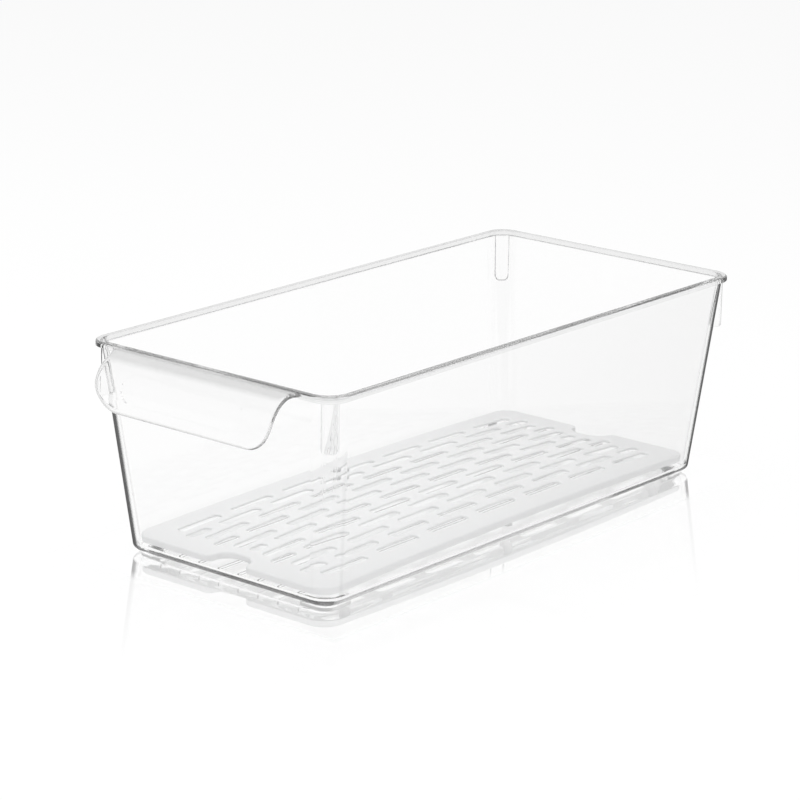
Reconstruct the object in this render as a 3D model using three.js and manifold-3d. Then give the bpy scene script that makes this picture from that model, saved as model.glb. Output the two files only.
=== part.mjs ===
// A clear pull-out bin for a fridge shelf, with a slotted white drain tray that lifts out of it.
// Millimetres, +Z up. The finger lip is at the front, towards -Y. The origin is on the ground,
// under the middle of the bin's whole length, lip included.
import * as THREE from 'three';
import { mergeVertices } from 'three/addons/utils/BufferGeometryUtils.js';
import Module from 'manifold-3d';

const wasm = await Module();
wasm.setup();

// Driving dimensions of the bin, over its rim
const binWidth = 150;
const binLength = 306;
const binHeight = 103.1;

// The moulding of the bin
const wall = 2.16;
const floorThickness = 2.2;
const wallLean = 10.2;        // how far each wall leans out between the floor and the rim
const baseCorner = 10.3;      // plan radius of the wall's corners at the floor
const topCorner = 12;         // and under the rim
const roomCorner = 9.8;       // plan radius inside the corners at the floor
const mouthCorner = 10.2;     // and at the rim
const baseRounding = 2.8;     // round edge between the walls and the underside
const floorFillet = 2;        // the same edge inside

// The rim that stands out all round the walls
const rimOverhang = 1.44;
const rimDepth = 2.9;
const rimCorner = 10.6;
const rimRounding = 1.2;
const rimLowerRounding = 0.5;
const mouthRounding = 0.6;    // inner edge of the rim's top

// The feet, one round each corner of the underside
const footHeight = 1.4;
const footWidth = 4.5;
const footArm = 17.5;
const footInset = 0.6;        // in from the flat of the underside

// The ribs along the floor
const ribPitch = 12.26;
const ribWidth = 1;
const ribHeight = 1.1;
const ribEdgeMargin = 14;     // least distance from a rib to the wall beside it

// The lugs outside the corners, which keep nested bins apart
const lugWidth = 8;
const lugHeight = 24;
const lugRounding = 2.6;
const lugSetback = 2.6;       // of its face from the rim's corner

// The finger lip: a sheet that leaves the rim level, bends down and hangs free
const lipReach = 16.7;        // beyond the rim
const lipThickness = 2;
const lipHalfWidth = 54.1;
const lipDrop = 25.3;         // from its top face to its lower edge
const lipTopBelowRim = 0.2;
const lipFlare = 6;           // hollow radius where its sides leave the rim
const lipCorner = 15;         // plan radius of its two lower corners
const lipEdgeRounding = 2.4;  // how far its edges' round reaches in over the faces
const panelHalfWidth = 36.9;  // the shallow panel in its face
const panelHeight = 14.6;
const panelFoot = 5.3;        // from the lip's lower edge up to the panel
const panelCorner = 7.2;
const panelDepth = 0.4;

// The drain tray
const trayTop = 9.5;          // of its top face above the ground, at both ends
const trayCrown = 1.86;       // how much higher the middle of its length is
const trayDome = 2.6;         // and how much its centre stands above that
const traySideGap = 2.8;      // to the bin's walls
const trayEndGap = 1.6;
const trayCorner = 9;
const trayPlate = 1.2;
const traySkirtDepth = 3.3;   // the turned-down edge, over the plate's own thickness
const traySkirtWall = 1.4;
const notchHalfWidth = 10.2;  // the finger notches in its two ends
const notchDepth = 10.4;
const notchFillet = 4;

// The tray's drain slots
const slotWidth = 5;
const slotLength = 27.2;
const slotBridge = 9.1;       // solid stretch between two slots of a column
const slotEndBridge = 7.1;    // and before the short slot at a column's end
const slotPitch = 8.92;       // between columns
const slotSideMargin = 13;    // least distance from a column to the tray's side
const slotEndMargin = 12.1;
const slotNotchMargin = 6.8;
const slotShortest = 8;       // a column's end is left solid where less than this has room

// The legs under the tray's border, outside the slots
const legRadius = 2.4;
const legInset = 7.6;         // from the tray's side
const legEndInset = 20;
const seatGap = 0.3;          // between the legs and the bin's floor
const overrun = 3;            // how far a cutting shape passes what it cuts

// How finely round shapes are stepped
const cornerSteps = 6;
const edgeSteps = 4;
const bendSteps = 14;
const slotEndSteps = 2;
const crownSteps = 8;
const domeSteps = 6;

// Sizes worked out from the ones above
const wallFoot = footHeight;
const wallTop = binHeight - rimDepth;
const floorTop = wallFoot + floorThickness;
const wallTopHalfWidth = binWidth / 2 - rimOverhang;
const wallTopHalfLength = binLength / 2 - rimOverhang;
const bendRadius = lipReach + rimOverhang;
const lipTop = binHeight - lipTopBelowRim;
const bendHeight = lipTop - bendRadius;
const skirtLength = lipDrop - bendRadius;
const bendLength = (bendRadius - lipThickness / 2) * Math.PI / 2;
const lipLength = bendLength + skirtLength;

// The wall's plan at a height, drawn in by an inset
function wallPlan(height, inset) {
  const share = (height - wallFoot) / (wallTop - wallFoot);
  const lean = wallLean * (1 - share);
  return {
    halfWidth: wallTopHalfWidth - lean - inset,
    halfLength: wallTopHalfLength - lean - inset,
    corner: baseCorner + (topCorner - baseCorner) * share - inset,
  };
}

// The plan of the room inside the walls at a height, whose corners are thicker than the walls
function roomPlan(height, inset) {
  const share = (height - wallFoot) / (wallTop - wallFoot);
  const { halfWidth, halfLength } = wallPlan(height, wall + inset);
  return { halfWidth, halfLength, corner: roomCorner + (mouthCorner - roomCorner) * share - inset };
}

// A closed ring of points: a rounded rectangle at a height
function ring({ halfWidth, halfLength, corner }, height) {
  const points = [];
  for (let quarter = 0; quarter < 4; quarter++) {
    const sideX = quarter === 0 || quarter === 3 ? 1 : -1;
    const sideY = quarter < 2 ? 1 : -1;
    for (let step = 0; step <= cornerSteps; step++) {
      const angle = (quarter + step / cornerSteps) * Math.PI / 2;
      points.push(new THREE.Vector3(
        sideX * (halfWidth - corner) + corner * Math.cos(angle),
        sideY * (halfLength - corner) + corner * Math.sin(angle),
        height,
      ));
    }
  }
  return points;
}

// The same plan with all its sides moved out, or in where the distance is negative
function grow({ halfWidth, halfLength, corner }, distance) {
  return { halfWidth: halfWidth + distance, halfLength: halfLength + distance, corner: corner + distance };
}

// A closed body through rings of equally many points, with a fan over each end
function loft(rings) {
  const count = rings[0].length;
  const points = rings.flat();
  const index = [];
  for (let row = 0; row + 1 < rings.length; row++) {
    for (let k = 0; k < count; k++) {
      const a = row * count + k;
      const b = row * count + (k + 1) % count;
      index.push(a, b, b + count, a, b + count, a + count);
    }
  }
  for (const [row, turned] of [[0, true], [rings.length - 1, false]]) {
    const middle = points.length;
    points.push(rings[row].reduce((sum, p) => sum.add(p), new THREE.Vector3()).divideScalar(count));
    for (let k = 0; k < count; k++) {
      const a = row * count + k;
      const b = row * count + (k + 1) % count;
      index.push(middle, turned ? b : a, turned ? a : b);
    }
  }
  const geometry = new THREE.BufferGeometry().setFromPoints(points);
  geometry.setIndex(index);
  return solid(geometry);
}

// A geometry as a solid that can be joined and cut
function solid(geometry) {
  const bare = new THREE.BufferGeometry();
  bare.setAttribute('position', geometry.getAttribute('position'));
  bare.setIndex(geometry.index);
  const merged = mergeVertices(bare);
  return new wasm.Manifold(new wasm.Mesh({
    numProp: 3,
    vertProperties: new Float32Array(merged.getAttribute('position').array),
    triVerts: new Uint32Array(merged.index.array),
  }));
}

// A plan shape raised between two heights
function prism(shape, low, high, curveSegments = cornerSteps) {
  const geometry = new THREE.ExtrudeGeometry(shape, { depth: high - low, bevelEnabled: false, curveSegments });
  return solid(geometry.translate(0, 0, low));
}

// An oblong with round ends that lies along X or Y
function oblong(halfX, halfY, radius) {
  const shape = new THREE.Shape();
  shape.moveTo(halfX, -halfY + radius);
  shape.lineTo(halfX, halfY - radius);
  shape.absarc(halfX - radius, halfY - radius, radius, 0, Math.PI / 2);
  shape.absarc(-halfX + radius, halfY - radius, radius, Math.PI / 2, Math.PI);
  shape.absarc(-halfX + radius, -halfY + radius, radius, Math.PI, Math.PI * 3 / 2);
  shape.absarc(halfX - radius, -halfY + radius, radius, Math.PI * 3 / 2, Math.PI * 2);
  return shape;
}

// The outside of the bin: rounded base, leaning walls and the rim
function binOutside() {
  const rings = [];
  for (let step = 0; step <= edgeSteps; step++) {
    const angle = step / edgeSteps * Math.PI / 2;
    const height = wallFoot + baseRounding * (1 - Math.cos(angle));
    rings.push(ring(wallPlan(height, baseRounding * (1 - Math.sin(angle))), height));
  }
  rings.push(ring(wallPlan(wallTop, 0), wallTop));
  const rim = { halfWidth: binWidth / 2, halfLength: binLength / 2, corner: rimCorner };
  rings.push(ring(grow(rim, -rimLowerRounding), wallTop));
  rings.push(ring(rim, wallTop + rimLowerRounding));
  for (let step = 0; step <= edgeSteps; step++) {
    const angle = step / edgeSteps * Math.PI / 2;
    const height = binHeight - rimRounding * (1 - Math.sin(angle));
    rings.push(ring(grow(rim, -rimRounding * (1 - Math.cos(angle))), height));
  }
  return loft(rings);
}

// The room inside the bin, which also trims what the lugs and the lip leave inside
function binInside() {
  const rings = [];
  for (let step = 0; step <= edgeSteps; step++) {
    const angle = step / edgeSteps * Math.PI / 2;
    const height = floorTop + floorFillet * (1 - Math.cos(angle));
    rings.push(ring(roomPlan(height, floorFillet * (1 - Math.sin(angle))), height));
  }
  const mouth = roomPlan(wallTop, 0);
  rings.push(ring(mouth, wallTop));
  for (let step = 0; step <= edgeSteps; step++) {
    const angle = step / edgeSteps * Math.PI / 2;
    const height = binHeight - mouthRounding * (1 - Math.sin(angle));
    rings.push(ring(grow(mouth, mouthRounding * (1 - Math.cos(angle))), height));
  }
  rings.push(ring(grow(mouth, mouthRounding), binHeight + overrun));
  return loft(rings);
}

// A point of the lip's section: a distance along the sheet from the wall, and one out from its middle
function lipPoint(x, along, out) {
  const radius = bendRadius - lipThickness / 2 + out;
  if (along <= 0) {
    return new THREE.Vector3(x, -wallTopHalfLength - along, bendHeight + radius);
  }
  if (along >= bendLength) {
    return new THREE.Vector3(x, -wallTopHalfLength - radius, bendHeight - (along - bendLength));
  }
  const angle = along / bendLength * Math.PI / 2;
  return new THREE.Vector3(
    x,
    -wallTopHalfLength - radius * Math.sin(angle),
    bendHeight + radius * Math.cos(angle),
  );
}

// Half the lip's width along the sheet: flared at the rim, then straight, then the lower corners
function lipHalfWidthAt(along) {
  const flareEnd = rimOverhang + lipFlare;
  const cornerStart = lipLength - lipCorner;
  if (along < flareEnd) {
    const left = Math.min(flareEnd - along, lipFlare);
    return lipHalfWidth + lipFlare - Math.sqrt(lipFlare ** 2 - left ** 2);
  }
  if (along > cornerStart) {
    return lipHalfWidth - lipCorner + Math.sqrt(lipCorner ** 2 - (along - cornerStart) ** 2);
  }
  return lipHalfWidth;
}

// The lip, lofted through sections across the sheet that end in a half ellipse on both sides
function fingerLip() {
  const flareEnd = rimOverhang + lipFlare;
  const cornerStart = lipLength - lipCorner;
  const stations = [-wall, rimOverhang];
  for (let step = 1; step <= edgeSteps; step++) {
    stations.push(flareEnd - lipFlare * (1 - Math.sin(step / edgeSteps * Math.PI / 2)));
  }
  const plainLength = cornerStart - flareEnd;
  for (let step = 1; step <= bendSteps; step++) {
    stations.push(flareEnd + plainLength * step / bendSteps);
  }
  const edgeStart = lipLength - lipEdgeRounding;
  for (let step = 1; step <= cornerSteps; step++) {
    stations.push(cornerStart + (edgeStart - cornerStart) * step / cornerSteps);
  }
  const lastEdgeStep = edgeSteps * 2;
  for (let step = 1; step < lastEdgeStep; step++) {
    stations.push(edgeStart + lipEdgeRounding * Math.sin(step / lastEdgeStep * Math.PI / 2));
  }
  const rings = stations.map((along) => {
    const pastEdge = Math.max(along - edgeStart, 0) / lipEdgeRounding;
    const halfThickness = lipThickness / 2 * Math.sqrt(1 - pastEdge ** 2);
    const halfWidth = lipHalfWidthAt(along);
    const section = [];
    for (const side of [1, -1]) {
      for (let step = 0; step <= edgeSteps; step++) {
        const angle = (step / edgeSteps - 1 / 2) * Math.PI;
        const x = halfWidth - lipEdgeRounding * (1 - Math.cos(angle));
        section.push(lipPoint(side * x, along, side * halfThickness * Math.sin(angle)));
      }
    }
    return section;
  });
  return loft(rings);
}

// What is cut to leave the shallow panel: an oblong seen from the front, as deep as the panel
// is under the lip's outer face all round the bend
function lipPanel() {
  const outline = [];
  const steps = bendSteps * 2;
  const outFace = lipThickness / 2;
  for (let step = 0; step <= steps; step++) {
    const p = lipPoint(0, lipLength * step / steps, outFace + overrun);
    outline.push(new THREE.Vector2(p.y, p.z));
  }
  for (let step = steps; step >= 0; step--) {
    const p = lipPoint(0, lipLength * step / steps, outFace - panelDepth);
    outline.push(new THREE.Vector2(p.y, p.z));
  }
  const depth = panelHalfWidth * 2;
  const band = new THREE.ExtrudeGeometry(new THREE.Shape(outline), { depth, bevelEnabled: false });
  band.rotateX(Math.PI / 2).rotateZ(Math.PI / 2).translate(-panelHalfWidth, 0, 0);
  const reach = lipReach + overrun;
  const window = new THREE.ExtrudeGeometry(
    oblong(panelHalfWidth, panelHeight / 2, panelCorner),
    { depth: reach, bevelEnabled: false, curveSegments: cornerSteps },
  );
  const middle = lipTop - lipDrop + panelFoot + panelHeight / 2;
  window.rotateX(Math.PI / 2).translate(0, -wallTopHalfLength, middle);
  return solid(band).intersect(solid(window));
}

// One lug: an upright tab with round lower corners, turned to face out of a corner
function lug(sideX, sideY) {
  const half = lugWidth / 2;
  const shape = new THREE.Shape();
  shape.moveTo(half, 0);
  shape.lineTo(-half, 0);
  shape.lineTo(-half, -lugHeight + lugRounding);
  shape.absarc(-half + lugRounding, -lugHeight + lugRounding, lugRounding, Math.PI, Math.PI * 3 / 2);
  shape.absarc(half - lugRounding, -lugHeight + lugRounding, lugRounding, Math.PI * 3 / 2, Math.PI * 2);
  const face = rimCorner - lugSetback;
  const depth = rimCorner;
  const tab = new THREE.ExtrudeGeometry(shape, { depth, bevelEnabled: false, curveSegments: edgeSteps });
  tab.translate(0, 0, face - depth).rotateX(Math.PI / 2).rotateZ(Math.PI);
  tab.rotateZ(Math.atan2(sideY, sideX) - Math.PI / 2);
  tab.translate(sideX * (binWidth / 2 - rimCorner), sideY * (binLength / 2 - rimCorner), wallTop);
  return solid(tab);
}

// One foot: a strip that turns with the corner of the underside and ends round
function foot(sideX, sideY) {
  const base = grow(wallPlan(wallFoot, baseRounding), -footInset);
  const outer = base.corner;
  const inner = Math.max(outer - footWidth, footWidth / 4);
  const end = footWidth / 2;
  const shape = new THREE.Shape();
  shape.moveTo(0, -outer);
  shape.absarc(-outer, -outer, outer, 0, Math.PI / 2);
  shape.lineTo(-footArm + end, 0);
  shape.absarc(-footArm + end, -end, end, Math.PI / 2, Math.PI * 3 / 2);
  shape.lineTo(-footWidth - inner, -footWidth);
  shape.absarc(-footWidth - inner, -footWidth - inner, inner, Math.PI / 2, 0, true);
  shape.lineTo(-footWidth, -footArm + end);
  shape.absarc(-end, -footArm + end, end, Math.PI, Math.PI * 2);
  const strip = prism(shape, 0, footHeight + floorThickness / 2, edgeSteps);
  return strip.translate([base.halfWidth, base.halfLength, 0]).scale([sideX, sideY, 1]);
}

// The ribs along the floor, as many as the floor has room for on both sides of its middle line
function floorRibs() {
  const floor = roomPlan(floorTop, 0);
  const pairs = Math.floor((floor.halfWidth - ribEdgeMargin) / ribPitch + 1 / 2);
  const shape = oblong(ribWidth / 2, floor.halfLength - floorFillet, ribWidth / 2);
  const ribs = [];
  for (let k = -pairs; k < pairs; k++) {
    const rib = prism(shape, floorTop - floorThickness / 2, floorTop + ribHeight, slotEndSteps);
    ribs.push(rib.translate([(k + 1 / 2) * ribPitch, 0, 0]));
  }
  return wasm.Manifold.union(ribs);
}

// The bin is one moulding: shell, rim, lugs, lip, feet and ribs
function clearBin() {
  const corners = [[1, 1], [-1, 1], [-1, -1], [1, -1]];
  let body = binOutside().add(fingerLip().subtract(lipPanel()));
  for (const [sideX, sideY] of corners) {
    body = body.add(lug(sideX, sideY)).add(foot(sideX, sideY));
  }
  return body.subtract(binInside()).add(floorRibs());
}

// The tray's plan inside the bin's walls, drawn in by an inset
function trayPlan(inset) {
  const room = roomPlan(trayTop, 0);
  return {
    halfWidth: room.halfWidth - traySideGap - inset,
    halfLength: room.halfLength - trayEndGap - inset,
    corner: trayCorner - inset,
  };
}

// The tray's outline, with a finger notch in each end, drawn in by an inset
function trayOutline(inset) {
  const { halfWidth, halfLength, corner } = trayPlan(inset);
  const notch = notchHalfWidth + inset;
  const fillet = notchFillet - inset;
  const hollow = notchDepth - notchFillet + inset;
  const shape = new THREE.Shape();
  shape.moveTo(halfWidth, -halfLength + corner);
  shape.lineTo(halfWidth, halfLength - corner);
  shape.absarc(halfWidth - corner, halfLength - corner, corner, 0, Math.PI / 2);
  shape.absarc(notch + fillet, halfLength - fillet, fillet, Math.PI / 2, Math.PI);
  shape.absellipse(0, halfLength - fillet, notch, hollow, 0, Math.PI, true);
  shape.absarc(-notch - fillet, halfLength - fillet, fillet, 0, Math.PI / 2);
  shape.absarc(-halfWidth + corner, halfLength - corner, corner, Math.PI / 2, Math.PI);
  shape.absarc(-halfWidth + corner, -halfLength + corner, corner, Math.PI, Math.PI * 3 / 2);
  shape.absarc(-notch - fillet, -halfLength + fillet, fillet, Math.PI * 3 / 2, Math.PI * 2);
  shape.absellipse(0, -halfLength + fillet, notch, hollow, Math.PI, 0, true);
  shape.absarc(notch + fillet, -halfLength + fillet, fillet, Math.PI, Math.PI * 3 / 2);
  shape.absarc(halfWidth - corner, -halfLength + corner, corner, Math.PI * 3 / 2, Math.PI * 2);
  return shape;
}

// How much the tray's top face stands above its ends, at a place on it
function riseAt(x, y) {
  const { halfWidth, halfLength } = trayPlan(0);
  return (trayCrown + trayDome * (1 - (x / halfWidth) ** 2)) * (1 - (y / halfLength) ** 2);
}

// A slab between two depths under the tray's domed top face, as wide as the tray or wider
function domedSlab(shallow, deep) {
  const { halfWidth, halfLength } = trayPlan(-overrun);
  const slab = new THREE.BoxGeometry(halfWidth * 2, halfLength * 2, 1, domeSteps, crownSteps);
  const { position } = slab.attributes;
  for (let index = 0; index < position.count; index++) {
    const depth = position.getZ(index) > 0 ? shallow : deep;
    const rise = riseAt(position.getX(index), position.getY(index));
    position.setZ(index, trayTop + rise - depth);
  }
  return solid(slab);
}

// The drain slots: staggered columns of full slots, with a short one where a column has room left
function drainSlots() {
  const { halfWidth, halfLength } = trayPlan(0);
  const columns = Math.floor((halfWidth - slotSideMargin) / slotPitch);
  const period = slotLength + slotBridge;
  const slots = [];
  const cut = (x, from, to) => {
    const shape = oblong(slotWidth / 2, (to - from) / 2, slotWidth / 2);
    const slot = prism(shape, -overrun, trayTop + riseAt(0, 0) + overrun, slotEndSteps);
    slots.push(slot.translate([x, (from + to) / 2, 0]));
  };
  for (let column = -columns; column <= columns; column++) {
    const staggered = column % 2 === 0;
    const margin = column === 0 ? notchDepth + slotNotchMargin : slotEndMargin;
    const reach = halfLength - margin;
    const pairs = Math.floor((reach - slotLength / 2) / period + (staggered ? 1 / 2 : 0));
    for (let row = -pairs; staggered ? row < pairs : row <= pairs; row++) {
      const middle = (row + (staggered ? 1 / 2 : 0)) * period;
      cut(column * slotPitch, middle - slotLength / 2, middle + slotLength / 2);
    }
    const lastEnd = (pairs - (staggered ? 1 / 2 : 0)) * period + slotLength / 2;
    const shortStart = lastEnd + slotEndBridge;
    if (reach - shortStart > slotShortest) {
      cut(column * slotPitch, shortStart, reach);
      cut(column * slotPitch, -reach, -shortStart);
    }
  }
  return wasm.Manifold.union(slots);
}

// The legs that hold the tray off the bin's floor: one near each corner and one halfway
function trayLegs() {
  const { halfWidth, halfLength } = trayPlan(0);
  const low = floorTop + seatGap;
  const legs = [];
  for (const y of [-halfLength + legEndInset, 0, halfLength - legEndInset]) {
    for (const x of [-halfWidth + legInset, halfWidth - legInset]) {
      const high = trayTop + riseAt(x, y) - trayPlate / 2;
      const leg = new THREE.CylinderGeometry(legRadius, legRadius, high - low, cornerSteps * 2);
      legs.push(solid(leg.rotateX(Math.PI / 2).translate(x, y, (high + low) / 2)));
    }
  }
  return wasm.Manifold.union(legs);
}

// The tray is one moulding: a domed plate with a turned-down edge, slots and legs
function drainTray() {
  const top = trayTop + riseAt(0, 0) + overrun;
  const blank = domedSlab(0, traySkirtDepth).intersect(prism(trayOutline(0), 0, top));
  const hollow = domedSlab(trayPlate, traySkirtDepth + overrun)
    .intersect(prism(trayOutline(traySkirtWall), -overrun, top));
  return blank.subtract(hollow).subtract(drainSlots()).add(trayLegs());
}

// A solid as a named mesh
function piece(name, body, material) {
  const { vertProperties, triVerts } = body.getMesh();
  const geometry = new THREE.BufferGeometry();
  geometry.setAttribute('position', new THREE.BufferAttribute(vertProperties, 3));
  geometry.setIndex(new THREE.BufferAttribute(triVerts, 1));
  const mesh = new THREE.Mesh(geometry, material);
  mesh.name = name;
  return mesh;
}

const clearPlastic = new THREE.MeshStandardMaterial({
  color: 0xf2f5f6, roughness: 0.08, metalness: 0, transparent: true, opacity: 0.35,
});
const whitePlastic = new THREE.MeshStandardMaterial({ color: 0xf1f2f2, roughness: 0.38, metalness: 0 });

const organizer = new THREE.Group();
organizer.add(piece('clear_bin', clearBin(), clearPlastic));
organizer.add(piece('drain_tray', drainTray(), whitePlastic));
organizer.position.y = lipReach / 2;

export default organizer;
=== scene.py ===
import math
from contextlib import contextmanager

import bmesh
import bpy
from mathutils import Matrix, Vector


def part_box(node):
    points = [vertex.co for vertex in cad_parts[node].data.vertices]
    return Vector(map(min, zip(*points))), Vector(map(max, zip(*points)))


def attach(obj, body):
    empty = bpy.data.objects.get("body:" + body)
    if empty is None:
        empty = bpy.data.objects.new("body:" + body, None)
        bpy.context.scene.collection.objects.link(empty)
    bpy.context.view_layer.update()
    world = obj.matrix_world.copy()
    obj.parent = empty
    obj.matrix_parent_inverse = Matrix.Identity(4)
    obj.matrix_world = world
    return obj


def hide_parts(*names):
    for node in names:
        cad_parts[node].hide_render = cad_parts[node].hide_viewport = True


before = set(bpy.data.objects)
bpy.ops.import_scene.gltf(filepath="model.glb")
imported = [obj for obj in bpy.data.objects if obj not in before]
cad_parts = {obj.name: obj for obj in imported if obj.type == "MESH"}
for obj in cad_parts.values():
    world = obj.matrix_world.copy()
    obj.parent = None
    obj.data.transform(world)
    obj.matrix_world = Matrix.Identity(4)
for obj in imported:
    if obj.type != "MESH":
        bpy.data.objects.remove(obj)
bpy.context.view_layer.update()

MM = 0.001
RIGHT_ANGLE = math.pi / 2

# Driving sizes, from the frame
bin_low, bin_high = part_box("clear_bin")
tray_low, tray_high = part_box("drain_tray")
BIN_HEIGHT = bin_high.z
RIM_HALF_WIDTH = (bin_high.x - bin_low.x) / 2
LIP_REACH = 16.7 * MM
RIM_HALF_LENGTH = (bin_high.y - bin_low.y - LIP_REACH) / 2
MIDDLE_Y = bin_high.y - RIM_HALF_LENGTH
TRAY_HALF_WIDTH = (tray_high.x - tray_low.x) / 2
TRAY_HALF_LENGTH = (tray_high.y - tray_low.y) / 2

# The bin's walls, floor and rim
WALL = 2.16 * MM
FLOOR = 2.2 * MM
WALL_LEAN = 10.2 * MM
BASE_CORNER = 10.3 * MM
TOP_CORNER = 12 * MM
ROOM_CORNER = 9.8 * MM
MOUTH_CORNER = 10.2 * MM
BASE_ROUND = 2.8 * MM
FLOOR_FILLET = 2 * MM
RIM_OVERHANG = 1.44 * MM
RIM_DEPTH = 2.9 * MM
RIM_CORNER = 10.6 * MM
RIM_ROUND = 1.2 * MM
RIM_LOWER_ROUND = 0.5 * MM
RIM_FILLET = 0.35 * MM
MOUTH_ROUND = 0.6 * MM

# What stands on the bin's walls and floor
FOOT_HEIGHT = 1.4 * MM
FOOT_WIDTH = 4.5 * MM
FOOT_ARM = 17.5 * MM
FOOT_INSET = 0.6 * MM
FOOT_ROUND = 0.4 * MM
RIB_PAIRS = 4
RIB_PITCH = 12.26 * MM
RIB_WIDTH = 1 * MM
RIB_HEIGHT = 1.1 * MM
RIB_ROUND = 0.35 * MM
LUG_WIDTH = 8 * MM
LUG_HEIGHT = 24 * MM
LUG_ROUND = 2.6 * MM
LUG_EDGE_ROUND = 0.7 * MM
LUG_SETBACK = 2.6 * MM
LUG_ROOT = 1.5 * MM

# The finger lip
LIP_THICKNESS = 2 * MM
LIP_HALF_WIDTH = 54.1 * MM
LIP_DROP = 25.3 * MM
LIP_BELOW_RIM = 0.2 * MM
LIP_FLARE = 6.5 * MM
LIP_FLARE_START = 0.9 * MM
LIP_ROOT = 1.2 * MM
LIP_CORNER = 15 * MM
LIP_EDGE_ROUND = 2.4 * MM
PANEL_HALF_WIDTH = 36.9 * MM
PANEL_HEIGHT = 15.2 * MM
PANEL_FOOT = 5.3 * MM
PANEL_DEPTH = 0.35 * MM
PANEL_RAMP = 1.1 * MM

# The drain tray
TRAY_CROWN = 1.86 * MM
TRAY_DOME = 2.6 * MM
TRAY_TOP = tray_high.z - TRAY_CROWN - TRAY_DOME
TRAY_CORNER = 9 * MM
TRAY_PLATE = 1.2 * MM
TRAY_SKIRT = 3.3 * MM
TRAY_SKIRT_WALL = 1.4 * MM
TRAY_TOP_ROUND = 1 * MM
TRAY_LOWER_ROUND = 0.4 * MM
NOTCH_HALF_WIDTH = 10.2 * MM
NOTCH_DEPTH = 10.4 * MM
NOTCH_FILLET = 4 * MM
NOTCH_SHOULDER = 6.2 * MM
NOTCH_TOP_HALF_WIDTH = 4.5 * MM
SLOT_WIDTH = 5 * MM
SLOT_LENGTH = 27.2 * MM
SLOT_BRIDGE = 9.1 * MM
SLOT_END_BRIDGE = 7.1 * MM
SLOT_PITCH = 8.92 * MM
SLOT_COLUMNS = 5
SLOT_ROUND = 0.7 * MM
SLOT_SHORTEST = 8 * MM
SLOT_END_MARGIN = 12.1 * MM
SLOT_NOTCH_MARGIN = 6.8 * MM
LEG_RADIUS = 2.4 * MM
LEG_INSET = 7.6 * MM
LEG_END_INSET = 20 * MM

WALL_TOP = BIN_HEIGHT - RIM_DEPTH
FLOOR_TOP = FOOT_HEIGHT + FLOOR
BEND_RADIUS = LIP_REACH + RIM_OVERHANG
BEND_MIDDLE = BEND_RADIUS - LIP_THICKNESS / 2
BEND_HEIGHT = BIN_HEIGHT - LIP_BELOW_RIM - BEND_RADIUS
BEND_LENGTH = BEND_MIDDLE * RIGHT_ANGLE
LIP_LENGTH = BEND_LENGTH + LIP_DROP - BEND_RADIUS

# How finely curved shapes are made
CORNER_SEGMENTS = 16
LIP_OUTLINE_SEGMENTS = 14
LIP_BEND_STEPS = 30
DOME_STEPS_ACROSS = 26
DOME_STEPS_ALONG = 40
SHARP_ANGLE = math.radians(35)
OVERRUN = 3 * MM
WELD = 0.001 * MM

# Painted shade of the clear plastic. The first two numbers say how far the surface turns away from the
# viewer (0 faces the viewer, 1 is edge on), and the last two how dark it is before and after that.
PAINTED_WALL_SHADE = 0.4, 0.55, 0.0, 0.25
PAINTED_CORNER_SHADE = 0.25, 0.5, 0.0, 0.5
PAINTED_RIM_SHADE = 0.5, 0.85, 0.14, 0.55
PAINTED_LIP_SHADE = 0.36, 0.44, 0.0, 0.36
# Where the painted dark line on the corner curves starts and where it is full, by how far the surface turns
# away
PAINTED_CORNER_LINE = 0.4, 0.56

# Where these painted shades apply: the slope of a wall's normal that counts as upright, and how the shades
# end
UPRIGHT_NORMAL = 0.5, 0.15
LINE_BELOW_LIP = 4 * MM
FADE = 1 * MM
RIM_FADE = 0.2 * MM

# The table, and how its mirror image fades with the distance from the bin's foot
TABLE_HALF_WIDTH = 6
TABLE_SHOWN_WHITE = 0.85
MIRROR_NEAR = 17 * MM, 26 * MM, 0.6, 0.12
MIRROR_FAR = 26 * MM, 100 * MM, 1.0, 0.1

# The room is a little darker overhead, and on the side where dark boards stand
ROOM_OVERHEAD = 0.35, 0.8, 1.0, 0.6
ROOM_AT_BOARDS = -0.1, 0.6, 1.0, 0.55
BOARDS_SIDE = 0.616, -0.736, 0.0
MOST_BOUNCES = 100

# Soft lamps, with their places in metres and their powers in watts
LAMP_SIZE = 0.9
LAMPS = {
    "key": ((-0.7, -0.5, 1.3), 10.0),
    "fill": ((0.9, 0.5, 1.1), 5.5),
    "front": ((1.0, -1.0, 0.4), 8.5),
}


def wall_plan(height, inset=0.0):
    """Half width, half length and corner radius of the wall's plan at a height, drawn in by inset."""
    share = (height - FOOT_HEIGHT) / (WALL_TOP - FOOT_HEIGHT)
    drawn_in = RIM_OVERHANG + WALL_LEAN * (1 - share) + inset
    corner = BASE_CORNER + (TOP_CORNER - BASE_CORNER) * share - inset
    return RIM_HALF_WIDTH - drawn_in, RIM_HALF_LENGTH - drawn_in, corner


def room_plan(height):
    """The plan of the room inside the walls, whose corners are thicker than the walls."""
    share = (height - FOOT_HEIGHT) / (WALL_TOP - FOOT_HEIGHT)
    half_width, half_length, _ = wall_plan(height, WALL)
    return half_width, half_length, ROOM_CORNER + (MOUTH_CORNER - ROOM_CORNER) * share


def quarter_turn(steps):
    """Angles from zero up to a right angle."""
    return [step / steps * RIGHT_ANGLE for step in range(steps + 1)]


def everything(bm):
    return bm.verts[:] + bm.edges[:] + bm.faces[:]


def added_verts(bm, known):
    """The points that were made after a set of the known ones was taken."""
    return [vert for vert in bm.verts if vert not in known]


def move(bm, offset, verts=None):
    """Moves some of a mesh's points, or all of them."""
    bmesh.ops.translate(bm, vec=offset, verts=list(bm.verts) if verts is None else verts)


def round_off(bm, geometry, radius, segments, affect="EDGES"):
    """Rounds edges, or the corners of a flat face."""
    bmesh.ops.bevel(
        bm, geom=geometry, offset=radius, offset_type="OFFSET", segments=segments,
        profile=0.5, affect=affect, material=-1,
    )


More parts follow.
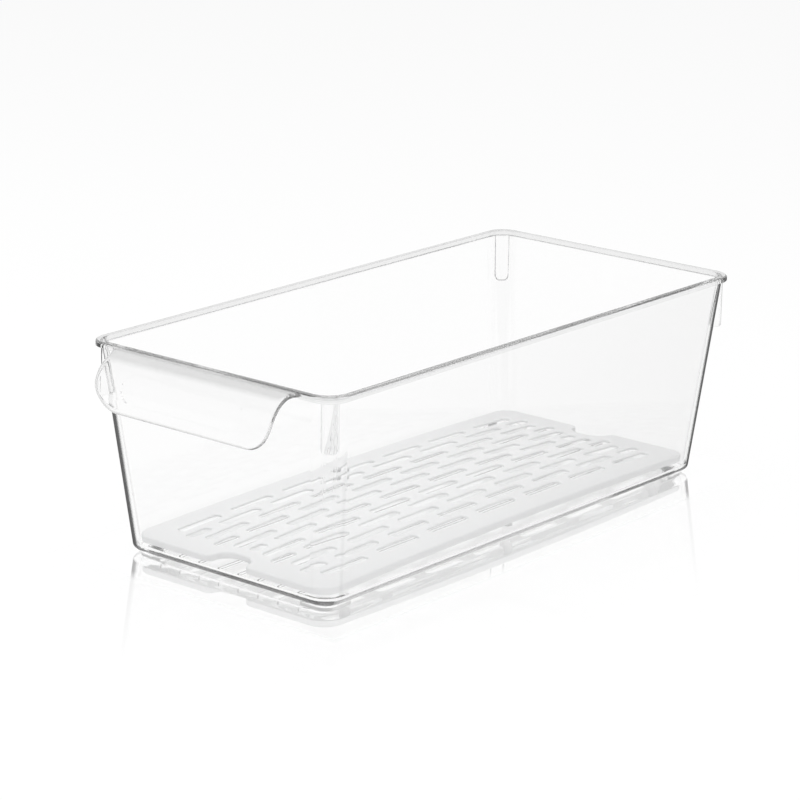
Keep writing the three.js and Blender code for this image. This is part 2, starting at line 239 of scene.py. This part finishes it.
def cut_across(bm, place, normal):
    """Divides the faces that cross a plane, so that they can bend there."""
    bmesh.ops.bisect_plane(bm, geom=everything(bm), plane_co=place, plane_no=normal, dist=WELD)


def flat_face(bm, outline, segments, height=0.0):
    """A level face through points that are each given as x, y and the radius that rounds them."""
    before = set(bm.faces)
    verts = [bm.verts.new((x, y, height)) for x, y, _ in outline]
    bm.faces.new(verts)
    for vert, (_, _, radius) in zip(verts, outline):
        if radius:
            round_off(bm, [vert], radius, segments, "VERTICES")
    return (set(bm.faces) - before).pop()


def oblong_face(bm, half_width, half_length, corner, height, segments=CORNER_SEGMENTS):
    """A level rounded rectangle."""
    before = set(bm.faces)
    verts = bmesh.ops.create_grid(bm, x_segments=1, y_segments=1, size=1)["verts"]
    bmesh.ops.scale(bm, vec=(half_width, half_length, 1), verts=verts)
    move(bm, (0, 0, height), verts)
    round_off(bm, verts, corner, segments, "VERTICES")
    return (set(bm.faces) - before).pop()


def loft(bm, plans, segments=CORNER_SEGMENTS):
    """A closed body through level rounded rectangles, and the ring of edges at each of them.

    The rings are made well apart and get their true heights last, because some lie at one height.
    """
    rings = []
    last = len(plans) - 1
    for number, (plan, _) in enumerate(plans):
        face = oblong_face(bm, *plan, number * RIM_DEPTH, segments)
        rings.append(list(face.edges))
        if 0 < number < last:
            bmesh.ops.delete(bm, geom=[face], context="FACES_ONLY")
    for lower, upper in zip(rings, rings[1:]):
        bmesh.ops.bridge_loops(bm, edges=lower + upper)
    for ring, (_, height) in zip(rings, plans):
        for vert in {vert for edge in ring for vert in edge.verts}:
            vert.co.z = height
    bmesh.ops.recalc_face_normals(bm, faces=list(bm.faces))
    return rings


def raise_face(bm, face, height):
    """Draws a face up into a prism, and gives the prism's upper face."""
    made = bmesh.ops.extrude_face_region(bm, geom=[face])["geom"]
    move(bm, (0, 0, height), [part for part in made if isinstance(part, bmesh.types.BMVert)])
    return next(part for part in made if isinstance(part, bmesh.types.BMFace))


def in_four_corners(bm):
    """Mirrors what stands in one corner into the other three, and moves all to the bin's middle."""
    for axis in "XY":
        bmesh.ops.mirror(bm, geom=everything(bm), merge_dist=0, axis=axis)
    move(bm, (0, MIDDLE_Y, 0))


def new_object(name, bm):
    """The bmesh as an object of its own, with its normals pointing out."""
    bmesh.ops.recalc_face_normals(bm, faces=list(bm.faces))
    if bm.calc_volume(signed=True) < 0:
        bmesh.ops.reverse_faces(bm, faces=list(bm.faces))
    mesh = bpy.data.meshes.new(name)
    bm.to_mesh(mesh)
    bm.free()
    made = bpy.data.objects.new(name, mesh)
    bpy.context.scene.collection.objects.link(made)
    return made


@contextmanager
def edited(piece):
    """Opens an object's mesh as a bmesh, and writes it back at the end."""
    bm = bmesh.new()
    bm.from_mesh(piece.data)
    yield bm
    bm.to_mesh(piece.data)
    bm.free()


def combine(base, tool, operation):
    """Joins the tool to the base, or cuts it out of it, and uses the tool up."""
    modifier = base.modifiers.new(operation, "BOOLEAN")
    modifier.operation = operation
    modifier.solver = "MANIFOLD"
    modifier.object = tool
    bpy.context.view_layer.update()
    shaped = base.evaluated_get(bpy.context.evaluated_depsgraph_get())
    base.data = bpy.data.meshes.new_from_object(shaped)
    base.modifiers.clear()
    bpy.data.objects.remove(tool)
    return base


def dress(piece, material):
    """Smooth shading that keeps sharp edges sharp, and the piece's material."""
    with edited(piece) as bm:
        bmesh.ops.remove_doubles(bm, verts=list(bm.verts), dist=WELD)
        for face in bm.faces:
            face.smooth = True
            face.material_index = 0
        for edge in bm.edges:
            edge.smooth = len(edge.link_faces) == 2 and edge.calc_face_angle(0) < SHARP_ANGLE
    piece.data.materials.clear()
    piece.data.materials.append(material)
    normals = piece.modifiers.new("flat faces stay flat", "WEIGHTED_NORMAL")
    normals.keep_sharp = True
    normals.weight = 100


def bin_shell():
    """The bin's walls, floor and rim, as one skin that turns over at the rim."""
    bm = bmesh.new()
    rim = RIM_HALF_WIDTH, RIM_HALF_LENGTH, RIM_CORNER
    mouth = room_plan(WALL_TOP)
    base, wall_top, rim_low, rim_top, mouth_top, _, floor = loft(bm, [
        (wall_plan(FOOT_HEIGHT), FOOT_HEIGHT),
        (wall_plan(WALL_TOP), WALL_TOP),
        (rim, WALL_TOP),
        (rim, BIN_HEIGHT),
        (mouth, BIN_HEIGHT),
        (mouth, WALL_TOP),
        (room_plan(FLOOR_TOP), FLOOR_TOP),
    ])
    round_off(bm, base, BASE_ROUND, segments=6)
    round_off(bm, wall_top, RIM_FILLET, segments=2)
    round_off(bm, rim_low, RIM_LOWER_ROUND, segments=3)
    round_off(bm, rim_top, RIM_ROUND, segments=6)
    round_off(bm, mouth_top, MOUTH_ROUND, segments=4)
    round_off(bm, floor, FLOOR_FILLET, segments=6)
    move(bm, (0, MIDDLE_Y, 0))
    return new_object("bin_shell", bm)


def flat_lip():
    """The finger lip as a flat sheet: X across, Y along the sheet from the wall, Z through it."""
    bm = bmesh.new()
    root = LIP_HALF_WIDTH + LIP_FLARE + LIP_EDGE_ROUND / 2
    face = flat_face(bm, [
        (-root, -LIP_ROOT, 0), (root, -LIP_ROOT, 0), (root, LIP_FLARE_START, 0),
        (LIP_HALF_WIDTH, LIP_FLARE_START, LIP_FLARE), (LIP_HALF_WIDTH, LIP_LENGTH, LIP_CORNER),
        (-LIP_HALF_WIDTH, LIP_LENGTH, LIP_CORNER), (-LIP_HALF_WIDTH, LIP_FLARE_START, LIP_FLARE),
        (-root, LIP_FLARE_START, 0),
    ], LIP_OUTLINE_SEGMENTS)
    angles = quarter_turn(6)
    for start, end in zip(angles, angles[1:]):
        bmesh.ops.inset_region(
            bm, faces=[face], use_boundary=True, use_even_offset=True,
            thickness=LIP_EDGE_ROUND * (math.cos(start) - math.cos(end)),
            depth=LIP_THICKNESS / 2 * (math.sin(end) - math.sin(start)),
        )
    bmesh.ops.mirror(bm, geom=everything(bm), merge_dist=WELD, axis="Z")
    return new_object("lip", bm)


def lip_panel():
    """What is cut from the flat sheet to leave the shallow panel, with ramps all round."""
    bm = bmesh.new()
    half_height = PANEL_HEIGHT / 2
    low = PANEL_HALF_WIDTH - PANEL_RAMP, half_height - PANEL_RAMP, half_height - PANEL_RAMP - WELD
    spread = PANEL_RAMP * (1 + OVERRUN / PANEL_DEPTH)
    high = [size + spread for size in low]
    surface = LIP_THICKNESS / 2
    loft(bm, [(low, surface - PANEL_DEPTH), (high, surface + OVERRUN)])
    move(bm, (0, LIP_LENGTH - PANEL_FOOT - half_height, 0))
    return new_object("lip_panel", bm)


def bend(point):
    """A point of the flat sheet, carried to its place on the bent lip."""
    radius = BEND_MIDDLE + point.z
    wall_y = MIDDLE_Y - RIM_HALF_LENGTH + RIM_OVERHANG
    if point.y <= 0:
        return Vector((point.x, wall_y - point.y, BEND_HEIGHT + radius))
    if point.y >= BEND_LENGTH:
        return Vector((point.x, wall_y - radius, BEND_HEIGHT - (point.y - BEND_LENGTH)))
    angle = point.y / BEND_MIDDLE
    return Vector((point.x, wall_y - radius * math.sin(angle), BEND_HEIGHT + radius * math.cos(angle)))


def finger_lip():
    """The lip with its panel, made flat and then bent down."""
    lip = combine(flat_lip(), lip_panel(), "DIFFERENCE")
    with edited(lip) as bm:
        for step in range(LIP_BEND_STEPS + 1):
            cut_across(bm, Vector((0, step / LIP_BEND_STEPS * BEND_LENGTH, 0)), (0, 1, 0))
        for vert in bm.verts:
            vert.co = bend(vert.co)
        bmesh.ops.reverse_faces(bm, faces=list(bm.faces))
    return lip


def corner_lugs():
    """Four upright tabs outside the corners, whose backs follow the leaning wall."""
    bm = bmesh.new()
    outward = Vector((1, 1, 0)).normalized()
    half_width, half_length, corner = wall_plan(WALL_TOP)
    back = Vector((half_width - corner, half_length - corner)).to_3d()
    back += outward * (corner - LUG_ROOT)
    front = Vector((RIM_HALF_WIDTH - RIM_CORNER, RIM_HALF_LENGTH - RIM_CORNER)).to_3d()
    front += outward * (RIM_CORNER - LUG_SETBACK)
    depth = (front - back).length
    height = LUG_HEIGHT + RIM_DEPTH / 2
    lean = math.sqrt(2) * WALL_LEAN * LUG_HEIGHT / (WALL_TOP - FOOT_HEIGHT)
    verts = bmesh.ops.create_cube(bm, size=1)["verts"]
    move(bm, (0, 0.5, -0.5), verts)
    bmesh.ops.scale(bm, vec=(LUG_WIDTH, depth, height), verts=verts)
    move(bm, (0, 0, WALL_TOP + RIM_DEPTH / 2), verts)
    lower = [vert for vert in verts if vert.co.z < WALL_TOP]
    move(bm, (0, -lean, 0), [vert for vert in lower if vert.co.y < depth / 2])
    lower_edges = [edge for edge in bm.edges if all(vert in lower for vert in edge.verts)]
    sides = [edge for edge in lower_edges if edge.verts[0].co.x == edge.verts[1].co.x]
    round_off(bm, sides, LUG_ROUND, segments=8)
    face = max(bm.faces, key=lambda face: face.calc_center_median().y)
    round_off(bm, list(face.edges), LUG_EDGE_ROUND, segments=3)
    turn = Matrix.Rotation(-RIGHT_ANGLE / 2, 4, "Z")
    bmesh.ops.transform(bm, matrix=Matrix.Translation(back) @ turn, verts=list(bm.verts))
    in_four_corners(bm)
    return new_object("lugs", bm)


def feet():
    """Four L-shaped feet that turn with the corners of the underside."""
    bm = bmesh.new()
    half_width, half_length, corner = wall_plan(FOOT_HEIGHT, BASE_ROUND + FOOT_INSET)
    end = FOOT_WIDTH / 2 - WELD
    face = flat_face(bm, [
        (0, 0, corner), (-FOOT_ARM, 0, end), (-FOOT_ARM, -FOOT_WIDTH, end),
        (-FOOT_WIDTH, -FOOT_WIDTH, corner - FOOT_WIDTH), (-FOOT_WIDTH, -FOOT_ARM, end),
        (0, -FOOT_ARM, end),
    ], segments=8)
    sole = list(face.edges)
    raise_face(bm, face, FOOT_HEIGHT + FLOOR / 2)
    round_off(bm, sole, FOOT_ROUND, segments=2)
    move(bm, (half_width, half_length, 0))
    in_four_corners(bm)
    return new_object("feet", bm)


def floor_ribs():
    """Long ribs on the floor, in pairs on both sides of its middle."""
    bm = bmesh.new()
    half_width = RIB_WIDTH / 2
    half_length = room_plan(FLOOR_TOP)[1] - FLOOR_FILLET
    for number in range(RIB_PAIRS * 2):
        known = set(bm.verts)
        face = oblong_face(bm, half_width, half_length, half_width - WELD, FLOOR_TOP - FLOOR / 2, segments=4)
        upper = raise_face(bm, face, FLOOR / 2 + RIB_HEIGHT)
        round_off(bm, list(upper.edges), RIB_ROUND, segments=2)
        place = (number + 0.5 - RIB_PAIRS) * RIB_PITCH
        move(bm, (place, MIDDLE_Y, 0), added_verts(bm, known))
    return new_object("ribs", bm)


def clear_bin(material):
    """The bin as one clear moulding."""
    shell = bin_shell()
    for part in (finger_lip(), corner_lugs(), feet(), floor_ribs()):
        combine(shell, part, "UNION")
    shell.name = "bin_moulding"
    dress(shell, material)
    return shell


def tray_blank():
    """The tray's flat plate with its notches and turned-down edge, before slots and dome."""
    bm = bmesh.new()
    side, end = TRAY_HALF_WIDTH, TRAY_HALF_LENGTH
    half_notch = [
        (NOTCH_HALF_WIDTH, end, NOTCH_FILLET),
        (NOTCH_HALF_WIDTH, end - NOTCH_SHOULDER, NOTCH_TOP_HALF_WIDTH / 2),
        (NOTCH_TOP_HALF_WIDTH, end - NOTCH_DEPTH, NOTCH_TOP_HALF_WIDTH * 0.6),
    ]
    outline = [(side, -end, TRAY_CORNER), (side, end, TRAY_CORNER)] + half_notch
    outline += [(-x, y, radius) for x, y, radius in reversed(half_notch)]
    outline += [(-side, end, TRAY_CORNER), (-side, -end, TRAY_CORNER)]
    outline += [(-x, -y, radius) for x, y, radius in half_notch]
    outline += [(x, -y, radius) for x, y, radius in reversed(half_notch)]
    lower = flat_face(bm, outline, segments=12, height=TRAY_TOP - TRAY_SKIRT)
    lower_outline = list(lower.edges)
    upper_outline = list(raise_face(bm, lower, TRAY_SKIRT).edges)
    bmesh.ops.recalc_face_normals(bm, faces=list(bm.faces))
    bmesh.ops.inset_region(bm, faces=[lower], thickness=TRAY_SKIRT_WALL, use_even_offset=True)
    raise_face(bm, lower, TRAY_SKIRT - TRAY_PLATE)
    bmesh.ops.delete(bm, geom=[lower], context="FACES_ONLY")
    round_off(bm, upper_outline, TRAY_TOP_ROUND, segments=5)
    round_off(bm, lower_outline, TRAY_LOWER_ROUND, segments=3)
    return new_object("tray_blank", bm)


def drain_slots():
    """Round-mouthed slots in staggered columns, with a short slot where a column has room left."""
    bm = bmesh.new()
    radius = SLOT_WIDTH / 2
    period = SLOT_LENGTH + SLOT_BRIDGE
    profile = [(0.0, TRAY_TOP - TRAY_SKIRT - OVERRUN)]
    for angle in quarter_turn(3):
        height = TRAY_TOP - SLOT_ROUND * (1 - math.sin(angle))
        profile.append((SLOT_ROUND * (1 - math.cos(angle)), height))
    profile.append((SLOT_ROUND, TRAY_TOP + OVERRUN))

    def slot(x, start, end):
        known = set(bm.verts)
        half_length = (end - start) / 2
        loft(bm, [
            ((radius + wider, half_length + wider, radius + wider - WELD), height)
            for wider, height in profile
        ], segments=6)
        move(bm, (x, (start + end) / 2, 0), added_verts(bm, known))

    for column in range(-SLOT_COLUMNS, SLOT_COLUMNS + 1):
        x = column * SLOT_PITCH
        margin = NOTCH_DEPTH + SLOT_NOTCH_MARGIN if column == 0 else SLOT_END_MARGIN
        reach = TRAY_HALF_LENGTH - margin
        first = period / 2 if column % 2 == 0 else 0.0
        pairs = int((reach - SLOT_LENGTH / 2 - first) / period)
        middles = [sign * (first + row * period) for row in range(pairs + 1) for sign in (-1, 1)]
        for middle in sorted(set(middles)):
            slot(x, middle - SLOT_LENGTH / 2, middle + SLOT_LENGTH / 2)
        short_start = first + pairs * period + SLOT_LENGTH / 2 + SLOT_END_BRIDGE
        if reach - short_start > SLOT_SHORTEST:
            slot(x, short_start, reach)
            slot(x, -reach, -short_start)
    return new_object("slots", bm)


def rise(x, y):
    """How much the tray's top stands above its ends at a place on it."""
    dome = TRAY_DOME * (1 - (x / TRAY_HALF_WIDTH) ** 2)
    return (TRAY_CROWN + dome) * (1 - (y / TRAY_HALF_LENGTH) ** 2)


def tray_legs():
    """Six round legs along the tray's long sides, from its plate down."""
    bm = bmesh.new()
    for y in (LEG_END_INSET - TRAY_HALF_LENGTH, 0, TRAY_HALF_LENGTH - LEG_END_INSET):
        for x in (LEG_INSET - TRAY_HALF_WIDTH, TRAY_HALF_WIDTH - LEG_INSET):
            top = TRAY_TOP + rise(x, y) - TRAY_PLATE / 2
            middle = x, y + MIDDLE_Y, (top + tray_low.z) / 2
            bmesh.ops.create_cone(
                bm, cap_ends=True, segments=32, radius1=LEG_RADIUS, radius2=LEG_RADIUS,
                depth=top - tray_low.z, matrix=Matrix.Translation(middle),
            )
    return new_object("legs", bm)


def bow(bm):
    """Raises the flat tray into its dome, cut into strips that are fine enough to follow it."""
    for normal, half_size, strips in (
        ((1, 0, 0), TRAY_HALF_WIDTH, DOME_STEPS_ACROSS),
        ((0, 1, 0), TRAY_HALF_LENGTH, DOME_STEPS_ALONG),
    ):
        for step in range(1, strips):
            cut_across(bm, Vector(normal) * (step / strips * 2 - 1) * half_size, normal)
    for vert in bm.verts:
        vert.co.z += rise(vert.co.x, vert.co.y)
        vert.co.y += MIDDLE_Y


def drain_tray(material):
    """The tray as one white moulding, made flat and then domed."""
    tray = combine(tray_blank(), drain_slots(), "DIFFERENCE")
    with edited(tray) as bm:
        bmesh.ops.remove_doubles(bm, verts=list(bm.verts), dist=WELD)
        bow(bm)
    combine(tray, tray_legs(), "UNION")
    tray.name = "tray_moulding"
    dress(tray, material)
    return tray


class Value:
    """A socket of a shader tree that can be added, multiplied and so on as a number."""

    def __init__(self, tree, socket):
        self.tree = tree
        self.socket = socket

    def maths(self, operation, other=None, swapped=False):
        node = self.tree.nodes.new("ShaderNodeMath")
        node.operation = operation
        sides = (other, self) if swapped else (self, other)
        for place, side in zip(node.inputs, sides):
            if isinstance(side, Value):
                self.tree.links.new(side.socket, place)
            elif side is not None:
                place.default_value = side
        return Value(self.tree, node.outputs[0])

    def __add__(self, other):
        return self.maths("ADD", other)

    def __mul__(self, other):
        return self.maths("MULTIPLY", other)

    def __sub__(self, other):
        return self.maths("SUBTRACT", other)

    def __rsub__(self, other):
        return self.maths("SUBTRACT", other, swapped=True)

    def __abs__(self):
        return self.maths("ABSOLUTE")


class Shader:
    """A material's or world's node tree, built node by node."""

    def __init__(self, owner):
        owner.use_nodes = True
        self.tree = owner.node_tree
        self.tree.nodes.clear()

    def node(self, kind, settings=None, output=0, **sockets):
        """A node of a type, with its settings and the values or links of its sockets."""
        made = self.tree.nodes.new(kind)
        for name, value in (settings or {}).items():
            setattr(made, name, value)
        for name, value in sockets.items():
            place = made.inputs[int(name[1:]) if name[0] == "_" else name.replace("_", " ")]
            if isinstance(value, Value):
                self.tree.links.new(value.socket, place)
            else:
                place.default_value = value
        return Value(self.tree, made.outputs[output])

    def end(self, kind, **sockets):
        """Ends the tree at an output node."""
        made = self.tree.nodes.new(kind)
        for name, value in sockets.items():
            self.tree.links.new(value.socket, made.inputs[name])

    def axis(self, vector, name):
        """The X, Y or Z of a vector."""
        return self.node("ShaderNodeSeparateXYZ", output=name, Vector=vector)

    def place(self, kind="Object"):
        """Where a point is on the object itself, or another of its coordinates."""
        return self.node("ShaderNodeTexCoord", output=kind)

    def ray(self, kind):
        """1 for one kind of light ray, and 0 for the others."""
        return self.node("ShaderNodeLightPath", output=f"Is {kind} Ray")

    def ramp(self, value, start, end, low=0.0, high=1.0):
        """Goes straight from low to high while the value goes from start to end, and stops there."""
        return self.node(
            "ShaderNodeMapRange", Value=value, From_Min=start, From_Max=end, To_Min=low, To_Max=high,
        )

    def blend(self, share, first, second):
        """A colour between two."""
        return self.node("ShaderNodeMix", {"data_type": "RGBA"}, output=2, Factor=share, _6=first, _7=second)

    def mix(self, share, first, second):
        """A surface between two."""
        return self.node("ShaderNodeMixShader", _0=share, _1=first, _2=second)


def grey(level):
    return level, level, level, 1


def new_material(name):
    material = bpy.data.materials.new(name)
    return material, Shader(material)


def corner_curves(shader, x, y, z):
    """1 on the outer curves of the bin's upright corners, and 0 on its flat walls and inside it."""
    half_width, half_length, corner = wall_plan(FOOT_HEIGHT)
    share = (z - FOOT_HEIGHT) * (1 / (WALL_TOP - FOOT_HEIGHT))
    shift = share * (WALL_LEAN - TOP_CORNER + BASE_CORNER)
    across = abs(x) - shift - (half_width - corner)
    along = abs(y - MIDDLE_Y) - shift - (half_length - corner)
    radius = share * (TOP_CORNER - BASE_CORNER) + BASE_CORNER
    beyond = (across * across + along * along).maths("SQRT") - radius
    in_corner = shader.ramp(across.maths("MINIMUM", along), 0.0, 2 * FADE)
    return in_corner * shader.ramp(beyond, -FADE, -FADE / 2)


def clear_plastic():
    """Polished clear plastic, with painted shade where it turns away from the viewer. Lamps shine through
    it.
    """
    material, shader = new_material("clear_plastic")
    place = shader.place()
    x, y, z = (shader.axis(place, name) for name in "XYZ")
    waves = shader.node("ShaderNodeTexNoise", Vector=place, Scale=38.0, Detail=1.0)
    bump = shader.node("ShaderNodeBump", Strength=0.02, Distance=0.2 * MM, Height=waves)
    facing = shader.node("ShaderNodeLayerWeight", output="Facing", Blend=0.5)
    outside = 1.0 - shader.node("ShaderNodeNewGeometry", output="Backfacing")
    upright = shader.ramp(abs(shader.axis(shader.place("Normal"), "Z")), *UPRIGHT_NORMAL) * outside

    # Masks for the painted shade: the front corners lose it from a little below the lip up, and rim and lip
    # get their own
    line_end = BIN_HEIGHT - LIP_DROP - LINE_BELOW_LIP
    behind_lip = shader.ramp(z, line_end - 2 * FADE, line_end) * shader.ramp(y, 0.0, -FADE)
    corner = corner_curves(shader, x, y, z) * upright * (1.0 - behind_lip)
    front = MIDDLE_Y - RIM_HALF_LENGTH
    on_lip = shader.ramp(y, front, front - FADE)
    on_rim = shader.ramp(z, WALL_TOP - RIM_FADE, WALL_TOP + RIM_FADE) * (1.0 - on_lip)

    # Painted shade: the colour darkens where the surface turns away, on walls, corner curves, rim and lip
    shade = shader.ramp(facing, *PAINTED_WALL_SHADE) * upright
    for values, where in (
        (PAINTED_CORNER_SHADE, corner), (PAINTED_RIM_SHADE, on_rim), (PAINTED_LIP_SHADE, on_lip * outside),
    ):
        shade = shade.maths("MAXIMUM", shader.ramp(facing, *values) * where)
    # The plastic's colour goes from clear to near black with the painted shade
    clear = shader.node(
        "ShaderNodeBsdfPrincipled", Base_Color=shader.blend(shade, grey(0.996), grey(0.03)), Roughness=0.0,
        IOR=1.53, Transmission_Weight=1.0, Normal=bump,
    )
    # A dark matt surface mixed in on the outer corner curves where they turn edge on: a painted dark line
    dark = shader.node(
        "ShaderNodeBsdfPrincipled", Base_Color=grey(0.12), Roughness=0.6, Specular_IOR_Level=0.0,
    )
    plastic = shader.mix(shader.ramp(facing, *PAINTED_CORNER_LINE) * corner, clear, dark)
    through = shader.node("ShaderNodeBsdfTransparent", Color=grey(0.98))
    mixed = shader.mix(shader.ray("Shadow"), plastic, through)
    depth = shader.node("ShaderNodeVolumeAbsorption", Color=grey(0), Density=1.5)
    shader.end("ShaderNodeOutputMaterial", Surface=mixed, Volume=depth)
    return material


def white_plastic():
    """Satin white plastic with a fine moulded grain."""
    material, shader = new_material("white_plastic")
    place = shader.place()
    grain = shader.node("ShaderNodeTexNoise", Vector=place, Scale=2600.0, Detail=3.0)
    cloud = shader.node("ShaderNodeTexNoise", Vector=place, Scale=45.0, Detail=2.0)
    bump = shader.node("ShaderNodeBump", Strength=0.12, Distance=0.05 * MM, Height=grain)
    colour = shader.blend(cloud, (0.865, 0.868, 0.87, 1), (0.885, 0.888, 0.89, 1))
    plastic = shader.node(
        "ShaderNodeBsdfPrincipled", Base_Color=colour, Roughness=grain * 0.1 + 0.36, IOR=1.49, Normal=bump,
        Specular_IOR_Level=0.3,
    )
    shader.end("ShaderNodeOutputMaterial", Surface=plastic)
    return material


def glossy_table():
    """A table top that shows white, takes soft shadows, and mirrors the foot of what stands on it."""
    material, shader = new_material("table")
    lit = shader.node("ShaderNodeBsdfDiffuse", Color=grey(0.9))
    white = shader.node("ShaderNodeEmission", Color=grey(1), Strength=1.0)
    shown = shader.ray("Camera") * TABLE_SHOWN_WHITE
    for kind in ("Glossy", "Transmission"):
        shown = shown.maths("MAXIMUM", shader.ray(kind))
    mirror = shader.node("ShaderNodeBsdfGlossy", Color=grey(1), Roughness=0.03)
    place = shader.place()
    half_width, half_length, _ = wall_plan(FOOT_HEIGHT)
    across = abs(shader.axis(place, "X")) - half_width
    along = abs(shader.axis(place, "Y") - MIDDLE_Y) - half_length
    away = across.maths("MAXIMUM", along)
    share = shader.ramp(away, *MIRROR_NEAR) * shader.ramp(away, *MIRROR_FAR)
    surface = shader.mix(shader.ray("Camera") * share, shader.mix(shown, lit, white), mirror)
    shader.end("ShaderNodeOutputMaterial", Surface=surface)
    return material


def studio():
    """The table, the pale room with dark boards on one side, and three soft lamps."""
    bm = bmesh.new()
    bmesh.ops.create_grid(bm, x_segments=1, y_segments=1, size=TABLE_HALF_WIDTH)
    table = new_object("table", bm)
    table.data.materials.append(glossy_table())

    world = bpy.data.worlds.new("studio")
    bpy.context.scene.world = world
    shader = Shader(world)
    direction = shader.place("Generated")
    to_boards = shader.node(
        "ShaderNodeVectorMath", {"operation": "DOT_PRODUCT"}, output=1, _0=direction, _1=BOARDS_SIDE,
    )
    overhead = shader.ramp(shader.axis(direction, "Z"), *ROOM_OVERHEAD)
    room = (overhead * shader.ramp(to_boards, *ROOM_AT_BOARDS)).maths("MAXIMUM", shader.ray("Camera"))
    surroundings = shader.node("ShaderNodeBackground", Color=grey(1), Strength=room)
    shader.end("ShaderNodeOutputWorld", Surface=surroundings)

    for name, (place, power) in LAMPS.items():
        lamp = bpy.data.lights.new(name, "AREA")
        lamp.size = LAMP_SIZE
        lamp.energy = power
        holder = bpy.data.objects.new(name, lamp)
        bpy.context.scene.collection.objects.link(holder)
        holder.visible_glossy = False
        holder.visible_transmission = False
        holder.location = place
        holder.rotation_euler = (-Vector(place)).to_track_quat("-Z", "Y").to_euler()


def camera():
    """The camera as the photograph was taken, worked out from the bin's own edges."""
    azimuth = math.radians(39.932)
    elevation = math.radians(16.418)
    roll = math.radians(0.731)
    distance = 1687.919 * MM
    target = Vector((-128.554 * MM, MIDDLE_Y + 136.137 * MM, 0))
    photo_pixels = 800
    focal_pixels = 3086.636
    half_pixel = 0.5 / photo_pixels
    level = math.cos(elevation)
    back = Vector((math.sin(azimuth) * level, -math.cos(azimuth) * level, math.sin(elevation)))
    right = Vector((math.cos(azimuth), math.sin(azimuth), 0))
    up = back.cross(right)
    turned_right = right * math.cos(roll) + up * math.sin(roll)
    turned_up = up * math.cos(roll) - right * math.sin(roll)
    data = bpy.data.cameras.new("camera")
    data.sensor_width = 36
    data.lens = focal_pixels * data.sensor_width / photo_pixels
    data.shift_x = -half_pixel
    data.shift_y = half_pixel
    data.clip_end = 20
    holder = bpy.data.objects.new("camera", data)
    bpy.context.scene.collection.objects.link(holder)
    turn = Matrix((turned_right, turned_up, back)).transposed().to_4x4()
    holder.matrix_world = Matrix.Translation(target + back * distance) @ turn
    bpy.context.scene.camera = holder


camera()
studio()

bin_piece = clear_bin(clear_plastic())
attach(bin_piece, "bin")
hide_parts("clear_bin")

tray_piece = drain_tray(white_plastic())
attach(tray_piece, "tray")
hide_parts("drain_tray")

bpy.context.scene.view_settings.view_transform = "Standard"
for limit in ("max_bounces", "transmission_bounces", "glossy_bounces"):
    setattr(bpy.context.scene.cycles, limit, MOST_BOUNCES)
